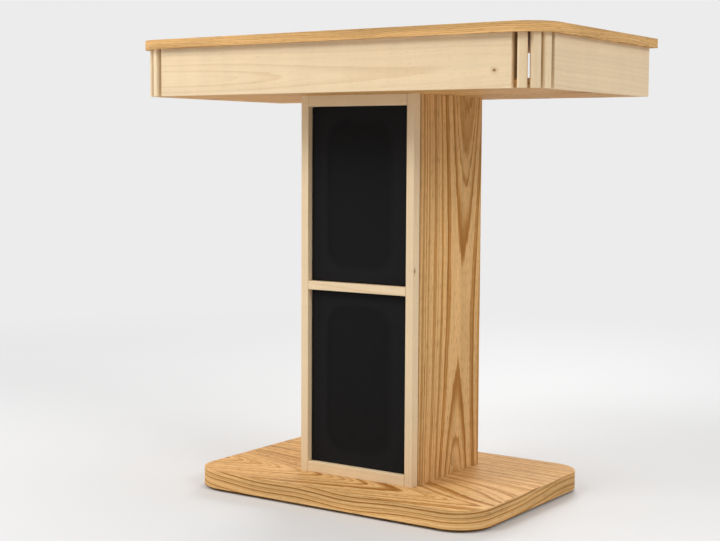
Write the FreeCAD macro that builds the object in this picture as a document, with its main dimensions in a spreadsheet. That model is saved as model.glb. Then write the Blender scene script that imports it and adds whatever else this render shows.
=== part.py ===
"""Pedestal DJ booth: oak base and column, maple trim, cloth grilles and an open-backed gear table.

Millimetres, +Z up, the audience side faces -Y. The origin is on the floor, under the middle of the table top.
"""
import FreeCAD
import Part
import Sketcher
import math
import os
import re

SIZES = {
    # base plate and its feet
    "foot_height": 6,
    "foot_width": 40,
    "foot_inset": 75,
    "base_length": 703,
    "base_depth": 500,
    "base_thick": 37,
    "base_corner": 76,
    "band_thick": 2,
    # column carcass
    "column_width": 281,
    "column_depth": 274,
    "column_height": 800,
    "column_setback": 118,
    "panel_thick": 18,
    "baffle_thick": 18,
    # maple face frame on the column
    "stile_width": 18,
    "frame_depth": 22,
    "frame_edge": 1,
    "top_rail": 23,
    "mid_rail": 18,
    "bottom_rail": 22,
    "opening_shift": 1.5,
    # gear table
    "table_length": 987,
    "table_depth": 518,
    "table_corner": 66,
    "top_thick": 19,
    "overhang": 12.5,
    "box_height": 100,
    "shelf_thick": 18,
    "fascia_thick": 12,
    "fascia_set": 4.5,
    "fascia_edge": 1.5,
    "slat_width": 18.5,
    "slat_edge": 4.8,
    "slat_turn": 22.5,
    "slat_spread": 4.8,
    "slat_lift": 2.3,
    "batten_size": 18,
    # pull-off grilles with their studs and cups
    "grille_gap": 1.5,
    "grille_seat": 0.3,
    "grille_thick": 8,
    "cloth_thick": 1,
    "border_side": 38,
    "border_end": 27,
    "cut_corner": 50,
    "stud_width": 7,
    "stud_length": 9,
    "stud_inset": 16,
    "stud_nose": 1.5,
    "cup_gap": 0.3,
    "cup_wall": 2.5,
    "cup_length": 12,
    "cup_floor": 1.5,
    "press_gap": 0.05,
    # bass driver
    "woofer_drop": 66,
    "flange_width": 13,
    "woofer_recess": 6,
    "flange_thick": 4,
    "driver_gap": 0.5,
    "basket_mouth": 130,
    "basket_depth": 46,
    "basket_wall": 2,
    "basket_bore": 40,
    "window_count": 6,
    "window_width": 26,
    "window_web": 5,
    "magnet_width": 88,
    "magnet_length": 28,
    "front_plate": 6,
    "back_plate": 6,
    "coil_clear": 0.6,
    "ring_bore": 46,
    "cone_depth": 30,
    "cone_rim": 5,
    "cone_wall": 1,
    "coil_width": 25.6,
    "coil_wall": 0.6,
    "coil_length": 22,
    "roll_radius": 5,
    "roll_wall": 0.8,
    "roll_lip": 6,
    "roll_set": 1,
    "cap_width": 34,
    "cap_rise": 6,
    "cap_wall": 0.8,
    # treble driver
    "tweeter_rise": 82,
    "tweeter_flange": 94,
    "tweeter_recess": 2,
    "tweeter_mouth": 52,
    "tweeter_can": 56,
    "tweeter_depth": 24,
    "dome_width": 27,
    "dome_rise": 5,
    "dome_gap": 1.5,
    # rear door, hinges, knob and catch
    "door_thick": 18,
    "door_gap": 2,
    "door_clear": 3,
    "door_stop": 1,
    "leaf_thick": 1.8,
    "leaf_length": 60,
    "leaf_width": 14,
    "leaf_gap": 0.4,
    "knuckle_width": 7,
    "knuckle_length": 20,
    "knuckle_gap": 0.3,
    "pin_width": 3.4,
    "pin_gap": 0.05,
    "pin_head": 5,
    "pin_head_thick": 1.5,
    "hinge_offset": 0.2,
    "hinge_inset": 110,
    "knob_width": 32,
    "knob_neck": 14,
    "knob_length": 26,
    "knob_neck_length": 11,
    "knob_inset": 32,
    "knob_edge": 5,
    "catch_length": 46,
    "catch_size": 14,
    "catch_inset": 20,
    "strike_thick": 1.2,
    "strike_gap": 0.3,
    "strike_margin": 2,
}

DERIVED = {
    "base_top": "foot_height + base_thick",
    "base_middle": "(table_depth - base_depth) / 2",
    "column_front": "table_depth / 2 - base_depth + column_setback",
    "column_rear": "column_front + column_depth",
    "column_inner": "column_width - 2 * panel_thick",
    "frame_back": "column_front + frame_depth",
    "opening_width": "column_width - 2 * stile_width",
    "opening_room": "column_height - top_rail - mid_rail - bottom_rail",
    "lower_opening": "opening_room / 2 + opening_shift",
    "upper_opening": "opening_room / 2 - opening_shift",
    "lower_middle": "base_top + bottom_rail + lower_opening / 2",
    "upper_middle": "base_top + column_height - top_rail - upper_opening / 2",
    "mid_rail_middle": "base_top + bottom_rail + lower_opening + mid_rail / 2",
    "baffle_back": "frame_back + baffle_thick",
    "lower_baffle_height": "mid_rail_middle - base_top",
    "upper_baffle_height": "base_top + column_height - mid_rail_middle",
    "lower_baffle_middle": "base_top + lower_baffle_height / 2",
    "upper_baffle_middle": "mid_rail_middle + upper_baffle_height / 2",
    "shelf_level": "base_top + column_height",
    "top_level": "shelf_level + box_height",
    "box_half": "table_length / 2 - overhang",
    "box_front": "overhang - table_depth / 2",
    "box_rear": "table_depth / 2 - overhang",
    "box_corner": "table_corner - overhang",
    "slat_radius": "box_corner - fascia_thick",
    "fascia_stop": "box_corner + fascia_set",
    "front_fascia_length": "2 * (box_half - fascia_stop)",
    "side_fascia_length": "box_rear - box_front - fascia_stop",
    "side_fascia_middle": "(box_rear + box_front + fascia_stop) / 2",
    "shelf_depth": "box_rear - box_front - fascia_thick",
    "carcass_back": "column_rear - door_thick - door_stop",
    "grille_width": "opening_width - 2 * grille_gap",
    "grille_back": "frame_back - grille_seat",
    "cup_bore": "stud_width / 2 + cup_gap",
    "cup_outer": "cup_bore + cup_wall",
    "woofer_flange": "basket_mouth + 2 * flange_width",
    "coil_gap": "coil_width + 2 * coil_clear",
    "coil_bore": "coil_width - 2 * coil_wall",
    "pole_width": "coil_bore - 2 * coil_clear",
    "cone_radius": "basket_mouth / 2 - basket_wall - roll_set - 2 * roll_radius",
    "cone_mouth": "2 * (cone_radius - cone_rim)",
    "roll_middle": "cone_radius + roll_radius",
    "roll_outer": "cone_radius + 2 * roll_radius",
    "cap_seat": "(cap_width - coil_bore) / (cone_mouth - coil_bore) * cone_depth - cone_depth",
    "tweeter_throat": "dome_width + 2 * dome_gap",
    "dome_seat": "-dome_rise",
    "door_width": "column_inner - 2 * door_gap",
    "door_height": "column_height - 2 * door_clear",
    "door_edge": "door_gap - column_inner / 2",
    "mortise_depth": "leaf_thick - (door_gap - leaf_gap) / 2",
    "hinge_line": "(door_gap - column_inner) / 2",
    "hinge_back": "column_rear + knuckle_width / 2 + hinge_offset",
    "leaf_end": "column_rear + hinge_offset - knuckle_gap",
    "lower_hinge": "base_top + door_clear + hinge_inset",
    "upper_hinge": "shelf_level - door_clear - hinge_inset",
}

UPRIGHT = FreeCAD.Rotation(FreeCAD.Vector(1, 0, 0), 90)
SPUN = FreeCAD.Rotation(FreeCAD.Vector(0, 0, 1), 1)
TOUCH = 1e-6
MORTISE = ("mortise_depth", "leaf_width + knuckle_width", "leaf_length")

doc = FreeCAD.newDocument("dj_booth")
sheet = doc.addObject("Spreadsheet::Sheet", "Sizes")
pieces = []


def fill_sheet():
    """Writes each driving and derived size to a row of its own, under its name."""
    rows = [(name, str(value)) for name, value in SIZES.items()]
    rows += [(name, "=" + text) for name, text in DERIVED.items()]
    for row, (name, content) in enumerate(rows, start=1):
        sheet.set(f"A{row}", name)
        sheet.set(f"B{row}", content)
        sheet.setAlias(f"B{row}", name)
    doc.recompute()


def formula(text):
    """Turns size names in a formula into references to the sheet."""
    return re.sub(r"[a-z]+(_[a-z]+)+", lambda word: "Sizes." + word.group(), str(text))


def bind(item, formulas):
    for path, text in formulas.items():
        item.setExpression(path, formula(text))


def place(item, x, y, z, rotation=None):
    """Ties an item's position to formulas, with a fixed rotation if one is given."""
    if rotation is not None:
        item.Placement = FreeCAD.Placement(FreeCAD.Vector(), rotation)
    bind(item, {"Placement.Base.x": x, "Placement.Base.y": y, "Placement.Base.z": z})
    return item


def keep(item, label):
    """Marks an item as a finished piece of the booth."""
    item.Label = label
    pieces.append(item)
    return item


def origin_feature(body, role):
    return next(item for item in body.Origin.OriginFeatures if item.Role == role)


def new_body(name):
    return doc.addObject("PartDesign::Body", name)


def new_sketch(body, name, role="XY_Plane", level="0"):
    sketch = body.newObject("Sketcher::SketchObject", name)
    sketch.AttachmentSupport = [(origin_feature(body, role), "")]
    sketch.MapMode = "FlatFace"
    if level != "0":
        bind(sketch, {"AttachmentOffset.Base.z": level})
    return sketch


def fix_point(sketch, geometry, end, x, y):
    """Holds a sketch point at two formulas, on an axis where a formula is 0.

    A sketch numbers its own horizontal axis -1, whose first point is the origin, and its vertical axis -2.
    """
    for kind, axis, text in (("DistanceX", -2, x), ("DistanceY", -1, y)):
        if text is None:
            continue
        if text == "0":
            sketch.addConstraint(Sketcher.Constraint("PointOnObject", geometry, end, axis))
            continue
        spot = sketch.getPoint(geometry, end)
        start = spot.x if kind == "DistanceX" else spot.y
        index = sketch.addConstraint(Sketcher.Constraint(kind, -1, 1, geometry, end, start))
        bind(sketch, {f"Constraints[{index}]": text})


def outline(sketch, points):
    """Draws a closed outline of straight lines through points given as formulas."""
    vectors = []
    for place_in_turn in range(len(points)):
        vectors.append(FreeCAD.Vector(1 + place_in_turn, 1 + place_in_turn ** 2, 0))
    count = len(points)
    for i in range(count):
        sketch.addGeometry(Part.LineSegment(vectors[i], vectors[(i + 1) % count]))
    for i in range(count):
        sketch.addConstraint(Sketcher.Constraint("Coincident", i, 2, (i + 1) % count, 1))
    for i, (x, y) in enumerate(points):
        fix_point(sketch, i, 1, x, y)


def rectangle(sketch, width, height):
    """Draws a rectangle about the sketch's origin."""
    corners = [FreeCAD.Vector(x, y, 0) for x, y in ((-1, -1), (1, -1), (1, 1), (-1, 1))]
    for i in range(4):
        sketch.addGeometry(Part.LineSegment(corners[i], corners[(i + 1) % 4]))
    for i in range(4):
        sketch.addConstraint(Sketcher.Constraint("Coincident", i, 2, (i + 1) % 4, 1))
        sketch.addConstraint(Sketcher.Constraint("Vertical" if i % 2 else "Horizontal", i))
    sketch.addConstraint(Sketcher.Constraint("Symmetric", 0, 1, 2, 1, -1, 1))
    span = (corners[2] - corners[0]).x
    across = sketch.addConstraint(Sketcher.Constraint("DistanceX", 0, 1, 0, 2, span))
    along = sketch.addConstraint(Sketcher.Constraint("DistanceY", 1, 1, 1, 2, span))
    bind(sketch, {f"Constraints[{across}]": width, f"Constraints[{along}]": height})


def circle(sketch, x, y, width):
    """Draws a circle at a point and of a width given as formulas."""
    ring = Part.Circle(FreeCAD.Vector(1, 1, 0), FreeCAD.Vector(0, 0, 1), 1)
    index = sketch.addGeometry(ring)
    fix_point(sketch, index, 3, x, y)
    across = sketch.addConstraint(Sketcher.Constraint("Diameter", index, 2 * ring.Radius))
    bind(sketch, {f"Constraints[{across}]": width})


def pad(body, sketch, length):
    feature = body.newObject("PartDesign::Pad", "Pad")
    feature.Profile = sketch
    bind(feature, {"Length": length})
    return feature


def pocket(body, sketch, depth=None):
    """Cuts a sketch down into the body to a depth, or right through it."""
    feature = body.newObject("PartDesign::Pocket", "Pocket")
    feature.Profile = sketch
    if depth is None:
        feature.Type = "ThroughAll"
    else:
        bind(feature, {"Length": depth})
    return feature


def revolve(body, sketch):
    feature = body.newObject("PartDesign::Revolution", "Revolution")
    feature.Profile = sketch
    feature.ReferenceAxis = (sketch, ["V_Axis"])
    feature.Angle = 360
    return feature


def is_along(edge, axis):
    """Says whether an edge is straight and lies along a local axis, 0, 1 or 2."""
    if not isinstance(edge.Curve, Part.Line):
        return False
    direction = edge.Vertexes[1].Point - edge.Vertexes[0].Point
    return abs(abs(direction[axis]) - direction.Length) < TOUCH


def round_edges(body, feature, radius, wanted):
    """Rounds the edges of a feature that a test picks by edge and middle point."""
    doc.recompute()
    names = []
    for number, edge in enumerate(feature.Shape.Edges, start=1):
        if wanted(edge, edge.CenterOfMass):
            names.append(f"Edge{number}")
    fillet = body.newObject("PartDesign::Fillet", "Fillet")
    fillet.Base = (feature, names)
    bind(fillet, {"Radius": radius})
    return fillet


def standing_edge(edge, middle):
    return is_along(edge, 2)


def front_standing_edge(edge, middle):
    return is_along(edge, 2) and middle.y < 0


def panel(label, size, corner):
    """Makes a plain rectangular board from its size and lowest corner."""
    board = doc.addObject("Part::Box", label)
    bind(board, dict(zip(("Length", "Width", "Height"), size)))
    return place(board, *corner)


def rounded_board(name, length, depth, thick, corner, wanted):
    """Makes a flat board about its own origin with some standing edges rounded."""
    body = new_body(name)
    sketch = new_sketch(body, name + "_plan")
    rectangle(sketch, length, depth)
    board = pad(body, sketch, thick)
    round_edges(body, board, corner, wanted)
    return body


def group(label, members):
    cluster = doc.addObject("Part::Compound", label)
    cluster.Links = members
    return keep(cluster, label)


def cut(label, base, tools):
    """Takes one or more tools from a base piece."""
    tool = tools[0]
    if len(tools) > 1:
        tool = doc.addObject("Part::MultiFuse", label + "_cutters")
        tool.Shapes = tools
    result = doc.addObject("Part::Cut", label)
    result.Base = base
    result.Tool = tool
    return keep(result, label)


def edged_board(name, length, depth, thick, corner, wanted, position):
    """Makes a veneered board and the thin oak band glued round its edge."""
    core = rounded_board(name, f"{length} - 2 * band_thick", f"{depth} - 2 * band_thick", thick,
                         f"{corner} - band_thick", wanted)
    keep(place(core, *position), name)
    whole = rounded_board(name + "_outline", length, depth, thick, corner, wanted)
    place(whole, *position)
    cut(name.rsplit("_", 1)[0] + "_edge_band", whole, [core])


def make_base():
    edged_board("base_plate", "base_length", "base_depth", "base_thick", "base_corner", standing_edge,
                ("0", "base_middle", "foot_height"))
    feet = []
    for side in ("-1", "1"):
        for end in ("-1", "1"):
            body = new_body("foot")
            sketch = new_sketch(body, "foot_profile", "XZ_Plane")
            outline(sketch, [("0", "0"), ("foot_width / 2 - foot_height / 2", "0"),
                             ("foot_width / 2", "foot_height / 2"), ("foot_width / 2", "foot_height"),
                             ("0", "foot_height")])
            revolve(body, sketch)
            feet.append(place(body, f"{side} * (base_length / 2 - foot_inset)",
                              f"base_middle + {end} * (base_depth / 2 - foot_inset)", "0"))
    group("base_feet", feet)


def make_carcass():
    side_depth = "column_rear - frame_back"
    left_mortises = []
    for hinge in ("lower_hinge", "upper_hinge"):
        left_mortises.append(panel("side_mortise", MORTISE,
                                   ("-column_inner / 2 - mortise_depth", "leaf_end - leaf_width",
                                    f"{hinge} - leaf_length / 2")))
    side_size = ("panel_thick", side_depth, "column_height")
    left = panel("left_side_blank", side_size, ("-column_width / 2", "frame_back", "base_top"))
    cut("column_left_side", left, left_mortises)
    right = panel("column_right_side", side_size, ("column_inner / 2", "frame_back", "base_top"))
    keep(right, "column_right_side")
    for label, level in (("column_floor", "base_top"),
                         ("column_divider", "mid_rail_middle - panel_thick / 2"),
                         ("column_ceiling", "shelf_level - panel_thick")):
        shelf = panel(label, ("column_inner", "carcass_back - baffle_back", "panel_thick"),
                      ("-column_inner / 2", "baffle_back", level))
        keep(shelf, label)


def frame_stick(label, width, height, along, x, z):
    """Makes one stick of the face frame, with its two long front edges eased."""
    body = new_body(label)
    sketch = new_sketch(body, label + "_face")
    rectangle(sketch, width, height)
    stick = pad(body, sketch, "frame_depth")
    doc.recompute()
    front = stick.Shape.BoundBox.ZMax
    round_edges(body, stick, "frame_edge",
                lambda edge, middle: is_along(edge, along) and middle.z > front - TOUCH)
    keep(place(body, x, "frame_back", z, UPRIGHT), label)


def make_face_frame():
    middle = "base_top + column_height / 2"
    offset = "(column_width - stile_width) / 2"
    frame_stick("left_stile", "stile_width", "column_height", 1, f"-{offset}", middle)
    frame_stick("right_stile", "stile_width", "column_height", 1, offset, middle)
    frame_stick("top_rail", "opening_width", "top_rail", 0, "0", "shelf_level - top_rail / 2")
    frame_stick("mid_rail", "opening_width", "mid_rail", 0, "0", "mid_rail_middle")
    frame_stick("bottom_rail", "opening_width", "bottom_rail", 0, "0", "base_top + bottom_rail / 2")


def corner_signs():
    return [(x, y) for x in ("-", "") for y in ("-", "")]


def stud_points(bay):
    """Gives the four stud places of a grille, from the middle of its opening."""
    x = "(grille_width / 2 - stud_inset)"
    y = f"({bay}_opening / 2 - grille_gap - stud_inset)"
    return [(sx + x, sy + y) for sx, sy in corner_signs()]


def make_baffle(bay):
    """Makes the board behind a grille, bored for its drivers and grille cups."""
    body = new_body(bay + "_baffle")
    face = new_sketch(body, "face")
    rectangle(face, "column_inner", f"{bay}_baffle_height")
    pad(body, face, "baffle_thick")
    shift = f"{bay}_middle - {bay}_baffle_middle"
    seats = ((f"{shift} - woofer_drop", "woofer_flange + 2 * driver_gap", "woofer_recess + flange_thick"),
             (f"{shift} - woofer_drop", "basket_mouth + 2 * driver_gap", None),
             (f"{shift} + tweeter_rise", "tweeter_flange + 2 * driver_gap", "tweeter_recess + flange_thick"),
             (f"{shift} + tweeter_rise", "tweeter_can + 2 * driver_gap", None))
    for height, width, depth in seats:
        hole = new_sketch(body, "seat", level="baffle_thick")
        circle(hole, "0", height, width)
        pocket(body, hole, depth)
    cups = new_sketch(body, "cup_holes", level="baffle_thick")
    for x, y in stud_points(bay):
        circle(cups, x, f"{shift} + {y}", "2 * (cup_outer + press_gap)")
    pocket(body, cups, "cup_length")
    keep(place(body, "0", "baffle_back", f"{bay}_baffle_middle", UPRIGHT), bay + "_baffle")


def turned_set(label, bay, profile, y):
    """Makes one turned piece at each stud place of a bay."""
    members = []
    for x, height in stud_points(bay):
        body = new_body(label + "_piece")
        sketch = new_sketch(body, "profile", "XZ_Plane")
        outline(sketch, profile)
        revolve(body, sketch)
        members.append(place(body, x, y, f"{bay}_middle + {height}", UPRIGHT))
    group(label, members)


def make_grille(bay):
    """Makes a pull-off grille: a board with a rounded sound opening, its cloth, and studs for its cups."""
    height = f"{bay}_opening - 2 * grille_gap"
    body = new_body(bay + "_grille_board")
    face = new_sketch(body, "face")
    rectangle(face, "grille_width", height)
    pad(body, face, "grille_thick")
    opening = new_sketch(body, "sound_opening", level="grille_thick")
    rectangle(opening, "grille_width - 2 * border_side", f"{height} - 2 * border_end")
    hole = pocket(body, opening)
    doc.recompute()
    half = hole.Shape.BoundBox.XMax
    round_edges(body, hole, "cut_corner",
                lambda edge, middle: is_along(edge, 2) and abs(middle.x) < half - TOUCH)
    keep(place(body, "0", "grille_back", f"{bay}_middle", UPRIGHT), bay + "_grille_board")
    cloth = panel(bay + "_grille_cloth", ("grille_width", "cloth_thick", height),
                  ("-grille_width / 2", "grille_back - grille_thick - cloth_thick",
                   f"{bay}_middle - {bay}_opening / 2 + grille_gap"))
    keep(cloth, bay + "_grille_cloth")
    turned_set(bay + "_grille_studs", bay,
               [("0", "0"), ("stud_width / 2", "0"), ("stud_width / 2", "stud_nose - stud_length"),
                ("stud_width / 2 - stud_nose", "-stud_length"), ("0", "-stud_length")], "grille_back")
    turned_set(bay + "_grille_cups", bay,
               [("cup_bore", "0"), ("cup_outer", "0"), ("cup_outer", "-cup_length"), ("0", "-cup_length"),
                ("0", "cup_floor - cup_length"), ("cup_bore", "cup_floor - cup_length")], "frame_back")


def turned(label, profile, position):
    """Makes a piece turned about its own Z axis, which faces the front once it stands in the booth."""
    body = new_body(label)
    sketch = new_sketch(body, "profile", "XZ_Plane")
    outline(sketch, profile)
    revolve(body, sketch)
    return keep(place(body, *position, UPRIGHT), label)


def make_basket(bay, position):
    """Makes the driver's pressed frame, with windows between the spokes of its conical wall."""
    label = bay + "_woofer_frame"
    body = new_body(label)
    sketch = new_sketch(body, "profile", "XZ_Plane")
    floor = "-basket_depth"
    mouth = "basket_mouth / 2"
    foot = "magnet_width / 2"
    inner_floor = "basket_wall - basket_depth"
    outline(sketch, [("woofer_flange / 2", "0"), ("woofer_flange / 2", "-flange_thick"),
                     (mouth, "-flange_thick"), (foot, floor),
                     ("basket_bore / 2", floor), ("basket_bore / 2", inner_floor),
                     (f"{foot} - basket_wall", inner_floor),
                     (f"{mouth} - basket_wall", "-flange_thick"), (f"{mouth} - basket_wall", "0")])
    revolve(body, sketch)
    window = new_sketch(body, "window")
    inner = f"{foot} + window_web"
    outer = f"{mouth} - basket_wall - window_web / 2"
    outline(window, [(inner, "-window_width / 2"), (outer, "-window_width / 2"), (outer, "window_width / 2"),
                     (inner, "window_width / 2")])
    opening = body.newObject("PartDesign::Pocket", "Window")
    opening.Profile = window
    bind(opening, {"Length": "basket_depth"})
    windows = body.newObject("PartDesign::PolarPattern", "Windows")
    windows.Originals = [opening]
    windows.Axis = (origin_feature(body, "Z_Axis"), [""])
    windows.Angle = 360
    bind(windows, {"Occurrences": "window_count"})
    body.Tip = windows
    keep(place(body, *position, UPRIGHT), label)


def read_size(name):
    return float(getattr(sheet, name))


def arc(sketch, middle, radius, start, end):
    """Draws an arc roughly where it belongs, to be held by constraints."""
    whole = Part.Circle(FreeCAD.Vector(*middle, 0), FreeCAD.Vector(0, 0, 1), radius)
    return sketch.addGeometry(Part.ArcOfCircle(whole, start, end))


def straight(sketch, first, second):
    """Draws a line between the ends of two drawn items, each given as an item and an end."""
    points = [sketch.getPoint(*first), sketch.getPoint(*second)]
    line = sketch.addGeometry(Part.LineSegment(*points))
    sketch.addConstraint(Sketcher.Constraint("Coincident", line, 1, *first))
    sketch.addConstraint(Sketcher.Constraint("Coincident", line, 2, *second))
    return line


def make_surround(bay, position):
    """Makes the rubber half-roll between the cone's rim and the frame's flange."""
    label = bay + "_woofer_surround"
    body = new_body(label)
    sketch = new_sketch(body, "profile", "XZ_Plane")
    middle = (read_size("roll_middle"), 0.0)
    wall = read_size("roll_wall")
    under_radius = read_size("roll_radius")
    over_radius = under_radius + wall
    rise = math.asin(wall / over_radius)
    under = arc(sketch, middle, under_radius, 0.0, math.pi)
    over = arc(sketch, middle, over_radius, rise, math.pi - rise)
    ends = []
    for x in (read_size("cone_mouth") / 2, read_size("roll_outer") + read_size("roll_lip")):
        ends.append(sketch.addGeometry(Part.LineSegment(FreeCAD.Vector(x, 0, 0), FreeCAD.Vector(x, wall, 0))))
    inner_end, outer_end = ends
    straight(sketch, (under, 2), (inner_end, 1))
    straight(sketch, (over, 2), (inner_end, 2))
    straight(sketch, (under, 1), (outer_end, 1))
    straight(sketch, (over, 1), (outer_end, 2))
    sketch.addConstraint(Sketcher.Constraint("Coincident", under, 3, over, 3))
    fix_point(sketch, under, 3, "roll_middle", "0")
    fix_point(sketch, under, 1, "roll_outer", "0")
    fix_point(sketch, under, 2, None, "0")
    fix_point(sketch, inner_end, 1, "cone_mouth / 2", "0")
    fix_point(sketch, inner_end, 2, "cone_mouth / 2", "roll_wall")
    fix_point(sketch, outer_end, 1, "roll_outer + roll_lip", "0")
    fix_point(sketch, outer_end, 2, "roll_outer + roll_lip", "roll_wall")
    fix_point(sketch, over, 1, None, "roll_wall")
    fix_point(sketch, over, 2, None, "roll_wall")
    width = sketch.addConstraint(Sketcher.Constraint("Radius", over, over_radius))
    bind(sketch, {f"Constraints[{width}]": "roll_radius + roll_wall"})
    revolve(body, sketch)
    keep(place(body, *position, UPRIGHT), label)


def make_dome(label, width, rise, seat, position):
    """Makes a thin spherical cap whose rim lies at the height seat on the driver's axis."""
    body = new_body(label)
    sketch = new_sketch(body, "profile", "XZ_Plane")
    half = read_size(width) / 2
    crown = read_size(seat) + read_size(rise)
    radius = (half ** 2 + read_size(rise) ** 2) / (2 * read_size(rise))
    slope = math.asin((radius - read_size(rise)) / radius)
    middle = (0.0, crown - radius)
    outer = arc(sketch, middle, radius, slope, math.pi / 2)
    inner_radius = radius - read_size("cap_wall")
    inner_slope = math.asin((radius - read_size(rise)) / inner_radius)
    inner = arc(sketch, middle, inner_radius, inner_slope, math.pi / 2)
    straight(sketch, (outer, 1), (inner, 1))
    straight(sketch, (outer, 2), (inner, 2))
    sketch.addConstraint(Sketcher.Constraint("Coincident", outer, 3, inner, 3))
    fix_point(sketch, outer, 3, "0", None)
    fix_point(sketch, outer, 1, f"{width} / 2", seat)
    fix_point(sketch, outer, 2, "0", f"{seat} + {rise}")
    fix_point(sketch, inner, 1, None, seat)
    fix_point(sketch, inner, 2, "0", f"{seat} + {rise} - cap_wall")
    revolve(body, sketch)
    keep(place(body, *position, UPRIGHT), label)


def make_woofer(bay):
    """Makes a bass driver: frame, magnet with its coil gap, cone with its coil, dust cap and surround."""
    position = ("0", "frame_back + woofer_recess", f"{bay}_middle - woofer_drop")
    make_basket(bay, position)
    front = "-basket_depth"
    back = "-basket_depth - magnet_length"
    outer = "magnet_width / 2"
    turned(bay + "_woofer_magnet",
           [("0", back), (outer, back), (outer, front), ("coil_gap / 2", front),
            ("coil_gap / 2", f"{front} - front_plate"), ("ring_bore / 2", f"{front} - front_plate"),
            ("ring_bore / 2", f"{back} + back_plate"), ("pole_width / 2", f"{back} + back_plate"),
            ("pole_width / 2", front), ("0", front)], position)
    rim = "cone_mouth / 2"
    neck = "coil_width / 2"
    turned(bay + "_woofer_cone",
           [("cone_radius", "0"), ("cone_radius", "-cone_wall"), (rim, "-cone_wall"),
            (neck, "-cone_depth - cone_wall"), (neck, "-cone_depth - coil_length"),
            ("coil_bore / 2", "-cone_depth - coil_length"), ("coil_bore / 2", "-cone_depth"),
            (rim, "0")], position)
    make_dome(bay + "_dust_cap", "cap_width", "cap_rise", "cap_seat", position)
    make_surround(bay, position)


def make_tweeter(bay):
    """Makes a treble driver: a flanged can with a shallow flare, and the dome in its throat."""
    position = ("0", "frame_back + tweeter_recess", f"{bay}_middle + tweeter_rise")
    can = "tweeter_can / 2"
    floor = "dome_seat"
    turned(bay + "_tweeter_body",
           [("tweeter_mouth / 2", "0"), ("tweeter_flange / 2", "0"), ("tweeter_flange / 2", "-flange_thick"),
            (can, "-flange_thick"), (can, "-tweeter_depth"), ("0", "-tweeter_depth"), ("0", floor),
            ("tweeter_throat / 2", floor), ("tweeter_throat / 2", "dome_seat / 2")], position)
    make_dome(bay + "_tweeter_dome", "dome_width", "dome_rise", "dome_seat", position)


def knuckle(level, length):
    barrel = doc.addObject("Part::Cylinder", "knuckle")
    bind(barrel, {"Radius": "knuckle_width / 2", "Height": length})
    return place(barrel, "hinge_line", "hinge_back", level)


def make_leaf(hinge, inner_x, spans):
    """Makes one hinge leaf: its plate in the door gap and the knuckles that it carries."""
    low = f"{hinge} - leaf_length / 2"
    shapes = [panel("leaf_plate", ("leaf_thick", "leaf_width", "leaf_length"),
                    (inner_x, "leaf_end - leaf_width", low))]
    for start, length in spans:
        level = f"{hinge} + {start}"
        shapes.append(panel("leaf_web", ("leaf_thick", "hinge_back - leaf_end", length),
                            (inner_x, "leaf_end", level)))
        shapes.append(knuckle(level, length))
    whole = doc.addObject("Part::MultiFuse", "leaf_blank")
    whole.Shapes = shapes
    bore = doc.addObject("Part::Cylinder", "leaf_bore")
    bind(bore, {"Radius": "pin_width / 2 + pin_gap", "Height": "leaf_length"})
    place(bore, "hinge_line", "hinge_back", low)
    leaf = doc.addObject("Part::Cut", "leaf")
    leaf.Base = whole
    leaf.Tool = bore
    return leaf


def make_pin(hinge):
    pin = doc.addObject("Part::Cylinder", "pin_shank")
    bind(pin, {"Radius": "pin_width / 2", "Height": "leaf_length"})
    place(pin, "hinge_line", "hinge_back", f"{hinge} - leaf_length / 2")
    head = doc.addObject("Part::Cylinder", "pin_head")
    bind(head, {"Radius": "pin_head / 2", "Height": "pin_head_thick"})
    place(head, "hinge_line", "hinge_back", f"{hinge} + leaf_length / 2")
    whole = doc.addObject("Part::Fuse", "hinge_pin")
    whole.Base = pin
    whole.Tool = head
    return whole


def make_hinges():
    end_length = "(leaf_length - knuckle_length) / 2 - knuckle_gap"
    fixed_spans = [("(-leaf_length / 2)", end_length), ("knuckle_length / 2 + knuckle_gap", end_length)]
    door_spans = [("(-knuckle_length / 2)", "knuckle_length")]
    fixed_x = "-column_inner / 2 - mortise_depth"
    door_x = "door_edge + mortise_depth - leaf_thick"
    hinges = ("lower_hinge", "upper_hinge")
    group("fixed_hinge_leaves", [make_leaf(hinge, fixed_x, fixed_spans) for hinge in hinges])
    group("door_hinge_leaves", [make_leaf(hinge, door_x, door_spans) for hinge in hinges])
    group("hinge_pins", [make_pin(hinge) for hinge in hinges])


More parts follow.
